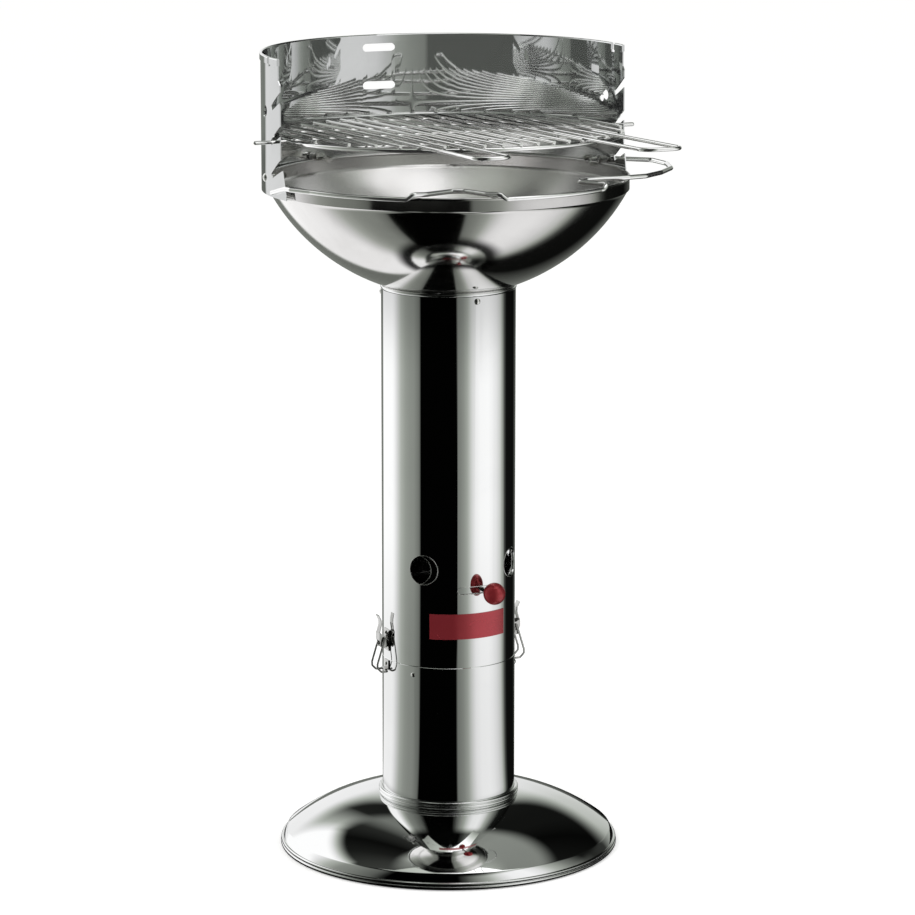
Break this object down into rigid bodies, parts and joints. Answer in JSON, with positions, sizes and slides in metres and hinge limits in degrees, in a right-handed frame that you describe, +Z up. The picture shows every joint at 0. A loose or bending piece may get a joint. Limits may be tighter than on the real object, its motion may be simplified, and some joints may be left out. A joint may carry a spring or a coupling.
{
  "type": "pillar charcoal grill",
  "caption": "Pillar charcoal grill in polished stainless steel: domed foot, tube column with air regulator and latches, fire bowl, windscreen and height-set cooking grid.",
  "frame": {"origin": "on the column's axis, in the plane of the floor that the foot stands on", "axes": "+Z up along the column's axis, -Y towards the grill's front where the grid's handles point, +X towards the rail's hand loop"},
  "size_m": [0.5481, 0.6023, 1.0222],
  "materials": {
    "polished_steel": "mirror polished stainless steel sheet",
    "satin_steel": "spun and lightly brushed stainless steel",
    "chromed_wire": "chromed round wire",
    "bright_fittings": "bright plated steel",
    "fire_steel": "heat-darkened steel wire",
    "red_knob": "glossy red",
    "red_label": "satin red print, bare"
  },
  "bodies": {
    "column": {"base_dish": "polished_steel", "ash_tube": "polished_steel", "ash_floor": "satin_steel", "guide_sleeve": "satin_steel", "guide_rivets": "bright_fittings", "upper_tube": "polished_steel", "label_plate": "red_label", "regulator_rings": "satin_steel", "left_latch_bracket": "bright_fittings", "left_latch_pin": "bright_fittings", "left_latch_catch": "bright_fittings", "right_latch_bracket": "bright_fittings", "right_latch_pin": "bright_fittings", "right_latch_catch": "bright_fittings", "latch_rivets": "bright_fittings", "bowl": "satin_steel", "bowl_collar": "polished_steel", "collar_screws": "bright_fittings", "collar_nuts": "satin_steel", "rim_rail": "chromed_wire", "rail_loop": "chromed_wire", "windscreen": "polished_steel", "windscreen_bolts": "bright_fittings", "windscreen_spacers": "satin_steel", "wing_nuts": "bright_fittings"},
    "regulator": {"regulator_sleeve": "satin_steel", "regulator_rod": "bright_fittings", "regulator_knob": "red_knob"},
    "cooking_grid": {"grid_ring": "chromed_wire", "grid_wires": "chromed_wire", "grid_cross_bars": "chromed_wire", "grid_pegs": "chromed_wire", "grid_handles": "chromed_wire"},
    "charcoal_grate": {"charcoal_ring": "fire_steel", "charcoal_bars": "fire_steel"},
    "left_lever": {"left_latch_lever": "bright_fittings"},
    "left_bail": {"left_latch_bail": "bright_fittings"},
    "right_lever": {"right_latch_lever": "bright_fittings"},
    "right_bail": {"right_latch_bail": "bright_fittings"}
  },
  "joints": [
    {"name": "regulator_turn", "type": "hinge", "parent": "column", "child": "regulator", "pos_m": [0, 0, 0.35], "axis": [0, 0, 1], "range_deg": [-20, 6.5]},
    {"name": "grid_slide", "type": "slide", "parent": "column", "child": "cooking_grid", "axis": [0, -0.8988, 0.4384], "range_m": [0, 0.06]},
    {"name": "grate_lift", "type": "slide", "parent": "column", "child": "charcoal_grate", "axis": [0, 0, 1], "range_m": [0, 0.14]},
    {"name": "left_lever_hinge", "type": "hinge", "parent": "column", "child": "left_lever", "pos_m": [-0.0925, 0, 0.27], "axis": [0, -1, 0], "range_deg": [0, 150]},
    {"name": "left_bail_hinge", "type": "hinge", "parent": "left_lever", "child": "left_bail", "pos_m": [-0.0918, 0, 0.279], "axis": [0, -1, 0], "range_deg": [-178, 0]},
    {"name": "right_lever_hinge", "type": "hinge", "parent": "column", "child": "right_lever", "pos_m": [0.0925, 0, 0.27], "axis": [0, 1, 0], "range_deg": [0, 150]},
    {"name": "right_bail_hinge", "type": "hinge", "parent": "right_lever", "child": "right_bail", "pos_m": [0.0918, 0, 0.279], "axis": [0, 1, 0], "range_deg": [-178, 0]}
  ],
  "couplings": [
    {"joint": "left_bail_hinge", "follows": "left_lever_hinge", "ratio": -1.1667},
    {"joint": "right_bail_hinge", "follows": "right_lever_hinge", "ratio": -1.1667}
  ]
}
